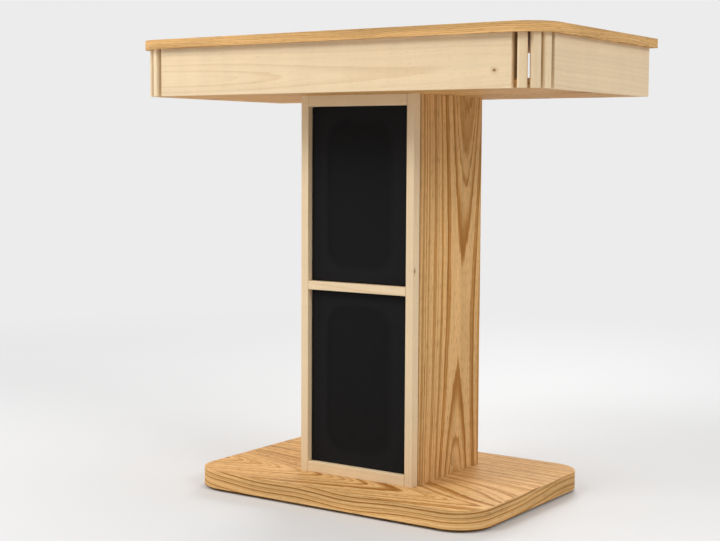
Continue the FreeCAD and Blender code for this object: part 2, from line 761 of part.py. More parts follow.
def make_door():
    """Makes the inset rear door, its turned knob, and the magnetic catch under the column's ceiling."""
    blank = panel("door_blank", ("door_width", "door_thick", "door_height"),
                  ("door_edge", "column_rear - door_thick", "base_top + door_clear"))
    mortises = []
    for hinge in ("lower_hinge", "upper_hinge"):
        mortises.append(panel("door_mortise", MORTISE,
                              ("door_edge", "leaf_end - leaf_width", f"{hinge} - leaf_length / 2")))
    cut("rear_door", blank, mortises)
    body = new_body("door_knob")
    sketch = new_sketch(body, "profile", "XZ_Plane")
    outline(sketch, [("0", "0"), ("knob_neck / 2", "0"), ("knob_neck / 2", "-knob_neck_length"),
                     ("knob_width / 2", "-knob_neck_length"), ("knob_width / 2", "-knob_length"),
                     ("0", "-knob_length")])
    turning = revolve(body, sketch)
    doc.recompute()
    rim = turning.Shape.BoundBox.XMax
    round_edges(body, turning, "knob_edge",
                lambda edge, middle: isinstance(edge.Curve, Part.Circle) and edge.Curve.Radius > rim - TOUCH)
    place(body, "door_edge + door_width - knob_inset", "column_rear", "base_top + column_height / 2", UPRIGHT)
    keep(body, "door_knob")
    catch_x = "column_inner / 2 - catch_inset - catch_length"
    catch_z = "shelf_level - panel_thick - catch_size"
    door_face = "column_rear - door_thick"
    strike = panel("door_strike", ("catch_length", "strike_thick", "catch_size - 2 * strike_margin"),
                   (catch_x, f"{door_face} - strike_thick", f"{catch_z} + strike_margin"))
    keep(strike, "door_strike")
    catch = panel("door_catch", ("catch_length", "catch_size", "catch_size"),
                  (catch_x, f"{door_face} - strike_thick - strike_gap - catch_size", catch_z))
    keep(catch, "door_catch")


def fascia(label, length, thick, x, y):
    """Makes one maple fascia with its standing edges eased."""
    body = rounded_board(label, length, thick, "box_height", "fascia_edge", standing_edge)
    keep(place(body, x, y, "shelf_level"), label)


def make_table():
    """Makes the gear table: fascias, edged top, battens, and a shelf notched round four corner blocks.

    The blocks stand behind the ends of the fascias that meet the corner slats.
    """
    fascia("front_fascia", "front_fascia_length", "fascia_thick", "0", "box_front + fascia_thick / 2")
    side_fascia = ("fascia_thick", "side_fascia_length")
    fascia("left_fascia", *side_fascia, "fascia_thick / 2 - box_half", "side_fascia_middle")
    fascia("right_fascia", *side_fascia, "box_half - fascia_thick / 2", "side_fascia_middle")
    edged_board("top_panel", "table_length", "table_depth", "top_thick", "table_corner", front_standing_edge,
                ("0", "0", "top_level"))
    batten_level = "top_level - batten_size"
    side_length = "side_fascia_length - batten_size"
    side_start = "box_front + fascia_stop"
    inside = "box_half - fascia_thick"
    battens = [panel("front_batten", ("front_fascia_length", "batten_size", "batten_size"),
                     ("-front_fascia_length / 2", "box_front + fascia_thick", batten_level)),
               panel("left_batten", ("batten_size", side_length, "batten_size"),
                     (f"-({inside})", side_start, batten_level)),
               panel("right_batten", ("batten_size", side_length, "batten_size"),
                     (f"{inside} - batten_size", side_start, batten_level))]
    group("top_battens", battens)
    block_size = ("batten_size", "batten_size", "box_height - batten_size")
    block_corners = [("-front_fascia_length / 2", "box_front + fascia_thick"),
                     ("front_fascia_length / 2 - batten_size", "box_front + fascia_thick"),
                     (f"-({inside})", side_start), (f"{inside} - batten_size", side_start)]
    blocks = []
    for x, y in block_corners:
        blocks.append(panel("corner_block", block_size, (x, y, "shelf_level")))
    group("corner_blocks", blocks)
    shelf = rounded_board("shelf_blank", f"2 * ({inside})", "shelf_depth", "shelf_thick", "slat_radius",
                          front_standing_edge)
    place(shelf, "0", "box_rear - shelf_depth / 2", "shelf_level")
    cut("gear_shelf", shelf, blocks)


def make_slats():
    """Fans three slats round each front corner of the table, between the ends of the fascias.

    The middle slat stands a little proud of the other two, which sit apart from it towards the fascias.
    """
    for side, sign, start, turn in (("left", "-", -135, -1), ("right", "", -45, 1)):
        for number, step in enumerate((-turn, 0, turn), start=1):
            label = f"{side}_corner_slat_{number}"
            body = new_body(label)
            sketch = new_sketch(body, "section")
            lift = "0" if step else "slat_lift"
            back = f"slat_radius + {lift}"
            front = f"box_corner + {lift}"
            low = f"{step} * slat_spread - slat_width / 2"
            high = f"{step} * slat_spread + slat_width / 2"
            outline(sketch, [(back, low), (front, low), (front, high), (back, high)])
            stick = pad(body, sketch, "box_height")
            doc.recompute()
            face = stick.Shape.BoundBox.XMax
            round_edges(body, stick, "slat_edge",
                        lambda edge, middle, face=face: is_along(edge, 2) and middle.x > face - TOUCH)
            place(body, f"{sign}(box_half - box_corner)", "box_front + box_corner", "shelf_level", SPUN)
            bind(body, {"Placement.Rotation.Angle": f"{start} + {step} * slat_turn"})
            keep(body, label)


def check_pieces():
    """Stops before anything is written if a feature failed or a piece isn't a sound solid."""
    doc.recompute()
    for item in doc.Objects:
        if "Invalid" in item.State or "Error" in item.State:
            raise RuntimeError(f"{item.Label} failed: {item.State}")
    for item in pieces:
        if item.Shape.isNull() or not item.Shape.isValid() or not item.Shape.Solids:
            raise RuntimeError(f"{item.Label} isn't a sound solid")


def write_pieces():
    os.makedirs("parts", exist_ok=True)
    for item in pieces:
        item.Shape.exportStep(f"parts/{item.Label}.step")
    print(len(pieces), "pieces written")


fill_sheet()
make_base()
make_carcass()
make_face_frame()
for bay_name in ("lower", "upper"):
    make_baffle(bay_name)
    make_grille(bay_name)
    make_woofer(bay_name)
    make_tweeter(bay_name)
make_door()
make_hinges()
make_table()
make_slats()
check_pieces()
write_pieces()
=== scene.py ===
"""A DJ booth: a gear table on a column of two loudspeakers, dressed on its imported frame.
Lengths are in metres. The front of the booth is at -Y, and +Z is up."""

import math

import bmesh
import bpy
from mathutils import Matrix, Vector


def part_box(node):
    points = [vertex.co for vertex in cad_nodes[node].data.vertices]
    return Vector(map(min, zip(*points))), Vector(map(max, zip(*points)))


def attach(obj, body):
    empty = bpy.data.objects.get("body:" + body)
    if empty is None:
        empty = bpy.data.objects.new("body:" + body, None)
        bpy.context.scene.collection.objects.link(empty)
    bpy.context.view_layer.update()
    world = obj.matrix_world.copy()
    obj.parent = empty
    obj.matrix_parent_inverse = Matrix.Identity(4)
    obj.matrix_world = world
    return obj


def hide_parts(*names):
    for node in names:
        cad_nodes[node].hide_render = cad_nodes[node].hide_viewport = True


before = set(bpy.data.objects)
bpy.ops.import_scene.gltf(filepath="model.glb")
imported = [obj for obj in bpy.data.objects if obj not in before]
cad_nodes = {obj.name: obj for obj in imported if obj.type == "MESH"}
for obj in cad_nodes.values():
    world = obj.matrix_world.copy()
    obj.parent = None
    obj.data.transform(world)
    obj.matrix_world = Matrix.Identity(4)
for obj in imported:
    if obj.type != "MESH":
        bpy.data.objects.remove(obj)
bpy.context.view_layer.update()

BAYS = ("lower", "upper")
SIDES = ("left", "right")
FORWARD = (0, -1, 0)
DOWNWARD = (0, 0, -1)


def tint(red, green, blue):
    """A colour as it shows on a screen (0 to 255), in the linear values of a shader, by the sRGB curve."""
    linear = []
    for part in (red, green, blue):
        share = part / 255.0
        linear.append(share / 12.92 if share <= 0.04045 else ((share + 0.055) / 1.055) ** 2.4)
    return (*linear, 1.0)


OAK_EARLY = tint(226, 182, 124)
OAK_LATE_STAIN = (0.38, 0.23, 0.09, 1.0)
OAK_PORE = tint(112, 66, 30)
MAPLE_EARLY = tint(233, 208, 170)
MAPLE_LATE = tint(211, 178, 132)
MAPLE_FLECK = tint(186, 148, 104)
MAPLE_JOINT = tint(128, 90, 56)
KNOT_HALO = tint(190, 146, 98)
KNOT_EYE = tint(118, 66, 30)
BIRCH_PALE = tint(214, 180, 134)
BIRCH_DEEP = tint(190, 152, 106)
BIRCH_GLUE = tint(122, 84, 52)
STEEL_DEEP = tint(176, 176, 178)
STEEL_PALE = tint(198, 198, 198)
YARN_DEEP = tint(9, 9, 10)
YARN_PALE = tint(26, 25, 27)
FLOOR_DEEP = tint(213, 213, 213)
FLOOR_PALE = tint(218, 218, 218)
BACKGROUND = tint(236, 236, 236)

# The sockets of a Mix node that it uses for colours.
MIX_SHARE = 0
MIX_FIRST = 6
MIX_SECOND = 7
MIX_RESULT = 2


class Graph:
    """Shader nodes in short: a call adds a node, joins its inputs and gives back its output."""

    def __init__(self, tree):
        self.tree = tree

    def add(self, kind, **settings):
        """A new node itself, with its settings."""
        node = self.tree.nodes.new(kind)
        for key, value in settings.items():
            setattr(node, key, value)
        return node

    def put(self, socket, value):
        """Link a socket to another node's output, or set it to a number or colour."""
        if isinstance(value, bpy.types.NodeSocket):
            self.tree.links.new(value, socket)
        else:
            socket.default_value = value

    def fill(self, node, values):
        """Put values into a node's first sockets."""
        for socket, value in zip(node.inputs, values):
            self.put(socket, value)

    def math(self, operation, *values):
        node = self.add("ShaderNodeMath", operation=operation)
        self.fill(node, values)
        return node.outputs[0]

    def vector(self, operation, *values):
        node = self.add("ShaderNodeVectorMath", operation=operation)
        self.fill(node, values)
        return node.outputs["Value" if operation == "LENGTH" else "Vector"]

    def join(self, *values):
        node = self.add("ShaderNodeCombineXYZ")
        self.fill(node, values)
        return node.outputs[0]

    def split(self, vector):
        node = self.add("ShaderNodeSeparateXYZ")
        self.put(node.inputs[0], vector)
        return list(node.outputs)

    def axes(self, vector):
        """The three parts of a vector under the names of their axes."""
        return dict(zip("XYZ", self.split(vector)))

    def ease(self, value, low, high):
        """0 up to low, 1 from high on, and a smooth step between."""
        node = self.add("ShaderNodeMapRange", interpolation_type="SMOOTHSTEP")
        self.put(node.inputs["Value"], value)
        node.inputs["From Min"].default_value = low
        node.inputs["From Max"].default_value = high
        return node.outputs["Result"]

    def fade(self, value, low, high):
        """1 up to low, 0 from high on, and a smooth step between."""
        return self.math("SUBTRACT", 1.0, self.ease(value, low, high))

    def spread(self, value, start, end):
        """A value of 0 to 1 spread evenly from start to end."""
        return self.math("MULTIPLY_ADD", value, end - start, start)

    def noise(self, place, rate, detail, output="Fac"):
        """Noise that changes about so many times in a metre along each axis."""
        node = self.add("ShaderNodeTexNoise")
        self.put(node.inputs["Vector"], self.vector("MULTIPLY", place, rate))
        node.inputs["Scale"].default_value = 1.0
        node.inputs["Detail"].default_value = detail
        return node.outputs[output]

    def mix(self, share, first, second, blend_type="MIX"):
        node = self.add("ShaderNodeMix", data_type="RGBA", blend_type=blend_type)
        self.put(node.inputs[MIX_SHARE], share)
        self.put(node.inputs[MIX_FIRST], first)
        self.put(node.inputs[MIX_SECOND], second)
        return node.outputs[MIX_RESULT]

    def cover(self, colour, mask, strength, over):
        """The colour with another laid over it, at this strength where the mask is 1."""
        return self.mix(self.math("MULTIPLY", mask, strength), colour, over)

    def stain(self, colour, strength, full):
        """The colour as it shows through a stain. full is what the stain lets through at strength 1."""
        node = self.add("ShaderNodeGamma")
        self.put(node.inputs["Color"], full)
        self.put(node.inputs["Gamma"], strength)
        return self.mix(1.0, colour, node.outputs["Color"], "MULTIPLY")

    def shade(self, colour, level):
        """The colour made lighter or darker by a level round 1."""
        return self.mix(1.0, colour, self.join(level, level, level), "MULTIPLY")

    def vary(self, colour, value, amount):
        """The colour made darker by this amount where the value is 0, and lighter by it where it is 1."""
        return self.shade(colour, self.spread(value, 1.0 - amount, 1.0 + amount))

    def seen(self):
        """1 where the camera looks, also by a reflection or through glass, and 0 for light on the booth."""
        rays = self.add("ShaderNodeLightPath").outputs
        straight_or_glossy = self.math("MAXIMUM", rays["Is Camera Ray"], rays["Is Glossy Ray"])
        return self.math("MAXIMUM", straight_or_glossy, rays["Is Transmission Ray"])

    def blend(self, share, first, second):
        """A first shader that turns into a second one as the share goes from 0 to 1."""
        node = self.add("ShaderNodeMixShader")
        self.fill(node, (share, first, second))
        return node.outputs[0]


class Finish(Graph):
    """A material with one principled shader, whose colour, roughness and bump come from nodes."""

    def __init__(self, name):
        self.material = bpy.data.materials.new(name)
        self.material.use_nodes = True
        super().__init__(self.material.node_tree)
        self.shader = self.tree.nodes["Principled BSDF"]
        self.place = self.add("ShaderNodeTexCoord").outputs["Object"]

    def turned(self, order):
        """The place with its axes in this order: along the grain, across it and into the board."""
        axes = self.axes(self.place)
        return self.join(*(axes[axis] for axis in order))

    def set(self, **values):
        """Set the shader's sockets, whose names have an underscore here for each space."""
        for key, value in values.items():
            self.put(self.shader.inputs[key.replace("_", " ")], value)

    def bump(self, height, distance, strength):
        node = self.add("ShaderNodeBump")
        node.inputs["Strength"].default_value = strength
        node.inputs["Distance"].default_value = distance
        self.put(node.inputs["Height"], height)
        self.put(self.shader.inputs["Normal"], node.outputs["Normal"])


# Late wood in one year of growth, in shares of the year.
LATE_STARTS = 0.5
LATE_FULL = 0.9
LATE_FADES = 0.92
YEAR_ENDS = 1.0

# How often the wood changes in a metre: along the grain, across it and into the board.
SWAY_RATE = (1.3, 6.0, 6.0)
RIPPLE_RATE = (6.0, 45.0, 45.0)
STREAK_RATE = (5.0, 260.0, 260.0)
PORE_RATE = (42.0, 1100.0, 1100.0)
STRIPE_RATE = (0.9, 48.0, 48.0)
BROAD_RATE = (1.3, 9.0, 9.0)
CURL_RATE = (24.0, 5.0, 5.0)
FLECK_RATE = (120.0, 700.0, 700.0)
# How often the weather changes in a metre of the log's radius.
WEATHER_RATE = (30.0, 1.0, 1.0)
# Where the noise for pores and flecks begins to show one, and where it shows it fully.
PORE_EDGE = (0.58, 0.7)
FLECK_EDGE = (0.66, 0.76)

# The distance across the grain at which the drift is halved, and what the climb is divided by there.
HEART_REACH = 0.08
FLANK_DELAY = 1.35
# How many years the rings shift with the weather, the ripples and the streaks.
WEATHER_SHIFT = 1.5
RIPPLE_SHIFT = 0.18
STREAK_SHIFT = 0.24
FINE_LINES_PER_STRONG = 3.0
# How much of the strong lines is left far from the heart, and of the fine ones near it.
STRONG_FAR = 0.3
FINE_NEAR = 0.35
# How far one leaf of veneer is moved along the log from the leaf beside it.
LEAF_SHIFT = 0.37


def year_lines(graph, years, weak, strong):
    """Late wood: each year darkens slowly towards its end, and more in some years than in others."""
    season = graph.math("FRACT", years)
    year = graph.add("ShaderNodeTexWhiteNoise", noise_dimensions="1D")
    graph.put(year.inputs["W"], graph.math("FLOOR", years))
    rise = graph.ease(season, LATE_STARTS, LATE_FULL)
    fall = graph.fade(season, LATE_FADES, YEAR_ENDS)
    line = graph.math("MULTIPLY", rise, fall)
    return graph.math("MULTIPLY", line, graph.spread(year.outputs["Value"], weak, strong))


def growth_group():
    """Year rings of a log cut by a plane. Place runs along the grain, across it and into the log.
    The heart of the log lies Depth below the face, leaves it by Lean and Bow along the board, and wanders
    sideways by Drift, all of which die away far from the heart. With a Taper of 1 it is the log that
    narrows by Lean and Bow instead, which draws pointed flames with straight flanks. Spacing is that of the
    strong lines, and Wobble is how far the heart strays."""
    tree = bpy.data.node_groups.new("growth_rings", "ShaderNodeTree")
    tree.interface.new_socket("Place", in_out="INPUT", socket_type="NodeSocketVector")
    for name in ("Depth", "Lean", "Bow", "Taper", "Drift", "Spacing", "Wobble"):
        tree.interface.new_socket(name, in_out="INPUT", socket_type="NodeSocketFloat")
    for name in ("Late", "Streak", "Pore", "Tone"):
        tree.interface.new_socket(name, in_out="OUTPUT", socket_type="NodeSocketFloat")
    graph = Graph(tree)
    given = graph.add("NodeGroupInput").outputs
    result = graph.add("NodeGroupOutput").inputs
    place = given["Place"]
    along, across, inward = graph.split(place)

    sway = graph.noise(place, SWAY_RATE, detail=1.0, output="Color")
    sway = graph.axes(graph.vector("SUBTRACT", sway, (0.5, 0.5, 0.5)))
    apart = graph.math("DIVIDE", across, HEART_REACH)
    apart = graph.math("MULTIPLY", apart, apart)
    near = graph.math("DIVIDE", 1.0, graph.math("ADD", apart, 1.0))
    drift = graph.math("MULTIPLY", graph.math("MULTIPLY", along, given["Drift"]), near)
    side = graph.math("SUBTRACT", across, drift)
    side = graph.math("MULTIPLY_ADD", sway["Y"], given["Wobble"], side)
    slope = graph.math("MULTIPLY_ADD", along, given["Bow"], given["Lean"])
    climb = graph.math("MULTIPLY", along, slope)
    climb = graph.math("DIVIDE", climb, graph.spread(apart, 1.0, FLANK_DELAY))
    taper = graph.math("MULTIPLY", climb, given["Taper"])
    below = graph.math("ADD", inward, given["Depth"])
    heart = graph.math("ADD", graph.math("SUBTRACT", climb, taper), below)
    heart = graph.math("MULTIPLY_ADD", sway["Z"], given["Wobble"], heart)
    radius = graph.math("ADD", graph.vector("LENGTH", graph.join(0.0, side, heart)), taper)

    ripple = graph.noise(place, RIPPLE_RATE, detail=2.0)
    streak = graph.noise(place, STREAK_RATE, detail=3.0)
    years = graph.math("DIVIDE", radius, given["Spacing"])
    weather = graph.noise(graph.join(radius, 0.0, 0.0), WEATHER_RATE, detail=1.0)
    for change, shift in ((weather, WEATHER_SHIFT), (ripple, RIPPLE_SHIFT), (streak, STREAK_SHIFT)):
        years = graph.math("MULTIPLY_ADD", change, shift, years)
    strong = year_lines(graph, years, weak=0.3, strong=1.0)
    strong = graph.math("MULTIPLY", strong, graph.spread(near, STRONG_FAR, 1.0))
    fine_years = graph.math("MULTIPLY", years, FINE_LINES_PER_STRONG)
    fine = year_lines(graph, fine_years, weak=-0.3, strong=1.3)
    fine = graph.math("MULTIPLY", fine, graph.spread(near, 1.0, FINE_NEAR))
    late = graph.math("MAXIMUM", strong, fine)
    graph.put(result["Late"], graph.math("MULTIPLY", late, graph.spread(streak, start=0.5, end=1.5)))
    graph.put(result["Streak"], streak)
    pore = graph.noise(place, PORE_RATE, detail=1.0)
    graph.put(result["Pore"], graph.ease(pore, *PORE_EDGE))
    stripe = graph.noise(place, STRIPE_RATE, detail=2.0)
    broad = graph.noise(place, BROAD_RATE, detail=2.0)
    half_broad = graph.math("MULTIPLY", broad, 0.5)
    graph.put(result["Tone"], graph.math("MULTIPLY_ADD", stripe, 0.5, half_broad))
    return tree


GROWTH = growth_group()


def cut_wood(finish, order, centre, leaf=None, **cut):
    """The rings of a board. Order names the axes along, across and into it, the grain is laid out from the
    centre, and leaf is the width of a veneer leaf."""
    axes = finish.axes(finish.vector("SUBTRACT", finish.place, centre))
    along, across, inward = (axes[axis] for axis in order)
    if leaf:
        number = finish.math("FLOOR", finish.math("ADD", finish.math("DIVIDE", across, leaf), 0.5))
        along = finish.math("MULTIPLY_ADD", number, LEAF_SHIFT, along)
        across = finish.math("WRAP", across, leaf / 2, -leaf / 2)
    node = finish.add("ShaderNodeGroup", node_tree=GROWTH)
    finish.put(node.inputs["Place"], finish.join(along, across, inward))
    for name, value in cut.items():
        node.inputs[name.capitalize()].default_value = value
    return node.outputs


# How strongly the pores of oak show in early wood, and how much of that they lose in late wood.
PORE_STRENGTH = 0.75
LATE_PORE_LOSS = 0.45
# How much rougher a pore is, and how high late wood stands for the depth of a pore.
PORE_ROUGHNESS = 0.2
LATE_RIDGE = 0.35
# The painted shade of a narrow shadow groove where an oak board meets the maple: how far it is dark, and
# where it ends.
SEAM_DARK = 0.0012
SEAM_ENDS = 0.0036
# How often an edge band changes in a metre: along the edge in X and Y, and up it.
BAND_DRIFT_RATE = (2.2, 2.2, 0.0)
BAND_RIPPLE_RATE = (7.0, 7.0, 60.0)
BAND_STREAK_RATE = (5.0, 5.0, 260.0)
BAND_PORE_RATE = (42.0, 42.0, 1100.0)
BAND_TONE_RATE = (3.0, 3.0, 40.0)
# How far its lines drift and ripple up and down the edge, and how much of its pores shows.
BAND_DRIFT = 0.07
BAND_RIPPLE = 0.0022
BAND_PORES = 0.6
# How many fine lines it has for each broad one.
BAND_FINE_LINES = 2.0


def oak_look(finish, late, streak, pore, tone, seam_shade=None):
    """Honey-coloured oak veneer under matt lacquer: strong late wood, open pores, broad changes of tone."""
    colour = finish.stain(OAK_EARLY, late, OAK_LATE_STAIN)
    colour = finish.vary(colour, streak, amount=0.2)
    colour = finish.vary(colour, tone, amount=0.5)
    strength = finish.math("SUBTRACT", PORE_STRENGTH, finish.math("MULTIPLY", late, LATE_PORE_LOSS))
    open_pore = finish.math("MULTIPLY", pore, strength)
    colour = finish.mix(open_pore, colour, OAK_PORE)
    # Painted shade: a thin dark line along the joint with the maple, standing in for the shade in a groove
    # there.
    if seam_shade:
        colour = finish.cover(colour, seam_shade, strength=0.85, over=OAK_PORE)
    finish.set(Base_Color=colour, Specular_IOR_Level=0.03)
    lacquer = finish.spread(streak, start=0.46, end=0.58)
    finish.set(Roughness=finish.math("MULTIPLY_ADD", open_pore, PORE_ROUGHNESS, lacquer))
    height = finish.math("SUBTRACT", finish.math("MULTIPLY", late, LATE_RIDGE), open_pore)
    finish.bump(height, distance=0.00012, strength=0.7)


def oak(name, order, centre, leaf=None, seam_y=None, **cut):
    """Oak veneer on a board. seam_y is where its front edge meets the maple, in a thin line of painted
    shade, as in a shadow groove there.
    """
    finish = Finish(name)
    rings = cut_wood(finish, order, centre, leaf, **cut)
    seam_shade = None
    if seam_y is not None:
        seam_shade = finish.fade(finish.axes(finish.place)["Y"], seam_y + SEAM_DARK, seam_y + SEAM_ENDS)
    oak_look(finish, rings["Late"], rings["Streak"], rings["Pore"], rings["Tone"], seam_shade)
    return finish.material


def oak_band(name, level, spacing, strength):
    """A veneer band glued round an edge: its grain runs along the edge and drifts slowly up and down it."""
    finish = Finish(name)
    drift = finish.noise(finish.place, BAND_DRIFT_RATE, detail=1.0)
    drift = finish.math("MULTIPLY", finish.math("SUBTRACT", drift, 0.5), BAND_DRIFT)
    ripple = finish.noise(finish.place, BAND_RIPPLE_RATE, detail=2.0)
    drift = finish.math("MULTIPLY_ADD", finish.math("SUBTRACT", ripple, 0.5), BAND_RIPPLE, drift)
    rise = finish.math("SUBTRACT", finish.axes(finish.place)["Z"], level)
    rise = finish.math("ABSOLUTE", finish.math("ADD", rise, drift))
    years = finish.math("DIVIDE", rise, spacing)
    broad = year_lines(finish, years, weak=0.4, strong=1.0)
    fine_years = finish.math("MULTIPLY", years, BAND_FINE_LINES)
    fine = year_lines(finish, fine_years, weak=0.0, strong=0.4)
    late = finish.math("MAXIMUM", broad, fine)
    late = finish.math("MULTIPLY", late, strength)
    streak = finish.noise(finish.place, BAND_STREAK_RATE, detail=3.0)
    pore = finish.ease(finish.noise(finish.place, BAND_PORE_RATE, detail=1.0), *PORE_EDGE)
    pore = finish.math("MULTIPLY", pore, BAND_PORES)
    tone = finish.noise(finish.place, BAND_TONE_RATE, detail=2.0)
    oak_look(finish, late, streak, pore, tone)
    return finish.material


# Small knots in the maple: the middle of each, and its half-lengths along X, Y and Z.
FASCIA_KNOT = ((0.3879, -0.2465, 0.8758), (0.0060, 0.006, 0.0044))
STILE_KNOT = ((0.1405, -0.1173, 0.4865), (0.006, 0.0030, 0.0064))
# How far a knot's eye and halo are full, and where they end, in those half-lengths.
KNOT_EYE_REACH = (0.6, 1.15)
KNOT_HALO_REACH = (0.7, 2.6)
# How far the wood's curl pulls their outline in.
KNOT_RAGGEDNESS = 0.5
# How high late wood stands in maple, for the height of a streak.
MAPLE_RIDGE = 0.4
RAIL_JOINT_WIDTH = 0.0012


def maple(name, order, centre, knot=None, rail_end=None, **cut):
    """Pale maple under satin lacquer: faint rings, silky curl across the grain, short brown flecks and at
    most one small knot. rail_end is how far from the middle a rail's ends meet the stiles in a thin
    line."""
    finish = Finish(name)
    rings = cut_wood(finish, order, centre, **cut)
    grain = finish.turned(order)
    curl = finish.noise(grain, CURL_RATE, detail=2.0)
    fleck = finish.ease(finish.noise(grain, FLECK_RATE, detail=1.0), *FLECK_EDGE)
    colour = finish.cover(MAPLE_EARLY, rings["Late"], strength=0.5, over=MAPLE_LATE)
    colour = finish.vary(colour, rings["Streak"], amount=0.05)
    colour = finish.vary(colour, rings["Tone"], amount=0.14)
    colour = finish.vary(colour, curl, amount=0.05)
    colour = finish.cover(colour, fleck, strength=0.4, over=MAPLE_FLECK)
    if knot:
        middle, reach = knot
        away = finish.vector("DIVIDE", finish.vector("SUBTRACT", finish.place, middle), reach)
        away = finish.math("MULTIPLY_ADD", curl, KNOT_RAGGEDNESS, finish.vector("LENGTH", away))
        colour = finish.cover(colour, finish.fade(away, *KNOT_HALO_REACH), strength=0.45, over=KNOT_HALO)
        colour = finish.cover(colour, finish.fade(away, *KNOT_EYE_REACH), strength=0.85, over=KNOT_EYE)
    if rail_end:
        from_middle = finish.math("ABSOLUTE", finish.axes(finish.place)["X"])
        joint = finish.ease(from_middle, rail_end - RAIL_JOINT_WIDTH, rail_end)
        colour = finish.cover(colour, joint, strength=0.7, over=MAPLE_JOINT)
    finish.set(Base_Color=colour, Specular_IOR_Level=0.35)
    finish.set(Roughness=finish.spread(rings["Streak"], start=0.42, end=0.56))
    height = finish.math("MULTIPLY_ADD", rings["Late"], MAPLE_RIDGE, rings["Streak"])
    finish.bump(height, distance=0.00005, strength=0.6)
    return finish.material


PLY_THICKNESS = 0.0014
# How far from the middle of a glue line it is dark, and where it ends.
PLY_GLUE = (0.00004, 0.00022)
# How much a surface looks along the board's thickness where it is still an edge, and where it is a face.
PLY_EDGE = (0.4, 0.8)
PLY_BROAD_RATE = (2.2, 26.0, 26.0)
PLY_FINE_RATE = (9.0, 420.0, 420.0)


def plywood(name, order):
    """Birch plywood: pale faces with long grain, and brown glue lines between plies on its edges."""
    finish = Finish(name)
    inward = order[2]
    depth = finish.axes(finish.place)[inward]
    glue = finish.fade(finish.math("PINGPONG", depth, PLY_THICKNESS / 2), *PLY_GLUE)
    normal = finish.add("ShaderNodeNewGeometry").outputs["Normal"]
    facing = finish.math("ABSOLUTE", finish.axes(normal)[inward])
    glue_on_edge = finish.math("MULTIPLY", glue, finish.fade(facing, *PLY_EDGE))
    grain = finish.turned(order)
    broad = finish.noise(grain, PLY_BROAD_RATE, detail=3.0)
    fine = finish.noise(grain, PLY_FINE_RATE, detail=2.0)
    colour = finish.mix(broad, BIRCH_PALE, BIRCH_DEEP)
    colour = finish.vary(colour, fine, amount=0.08)
    colour = finish.cover(colour, glue_on_edge, strength=0.55, over=BIRCH_GLUE)
    finish.set(Base_Color=colour, Roughness=finish.spread(fine, start=0.5, end=0.64))
    finish.bump(fine, distance=0.00008, strength=0.6)
    return finish.material


# Clouds on a speckled surface change at this share of its grain's rate, and both have a weight in its tone.
CLOUD_RATE_SHARE = 0.12
CLOUD_WEIGHT = 0.6
GRAIN_WEIGHT = 0.4


def speckled(name, dark, light, grain, rough, bump, **values):
    """A fine even surface, such as painted board, moulded plastic, rubber or cast metal, in two tones.
    Grain is the size of its speckles, rough the range of its roughness and bump the height of its grain."""
    finish = Finish(name)
    coarse = finish.noise(finish.place, (CLOUD_RATE_SHARE / grain,) * 3, detail=3.0)
    fine = finish.noise(finish.place, (1.0 / grain,) * 3, detail=2.0)
    share = finish.math("MULTIPLY_ADD", coarse, CLOUD_WEIGHT, finish.math("MULTIPLY", fine, GRAIN_WEIGHT))
    finish.set(Base_Color=finish.mix(finish.ease(share, low=0.3, high=0.7), dark, light))
    finish.set(Roughness=finish.spread(share, *rough), **values)
    finish.bump(fine, distance=bump, strength=0.7)
    return finish.material


BRUSH_RATE = (60.0, 3200.0, 3200.0)
STEEL_CLOUD_RATE = (40.0, 40.0, 40.0)


def brushed_steel(name, order):
    """Steel with fine lines along the first axis of the order."""
    finish = Finish(name)
    lines = finish.noise(finish.turned(order), BRUSH_RATE, detail=2.0)
    cloud = finish.noise(finish.place, STEEL_CLOUD_RATE, detail=2.0)
    finish.set(Base_Color=finish.mix(cloud, STEEL_DEEP, STEEL_PALE), Metallic=1.0)
    finish.set(Roughness=finish.spread(lines, start=0.22, end=0.42))
    finish.bump(lines, distance=0.00003, strength=0.5)
    return finish.material


# The rounded sound opening in a grille board: what is left at its sides and ends, and its corners' radius.
OPENING_BORDER = 0.038
OPENING_END = 0.027
OPENING_CORNER = 0.050
# Where the cloth starts and stops to get lighter, from the opening's edge, and its tone over the opening:
# painted shade for the light that the opening behind it swallows.
OPENING_FADE = (-0.009, 0.007)
OPENING_TONE = 0.45
YARN_PITCH = 0.0011
YARN_WANDER = 0.0003
WANDER_RATE = (90.0, 90.0, 90.0)
SLUB_RATE = (380.0, 380.0, 60.0)


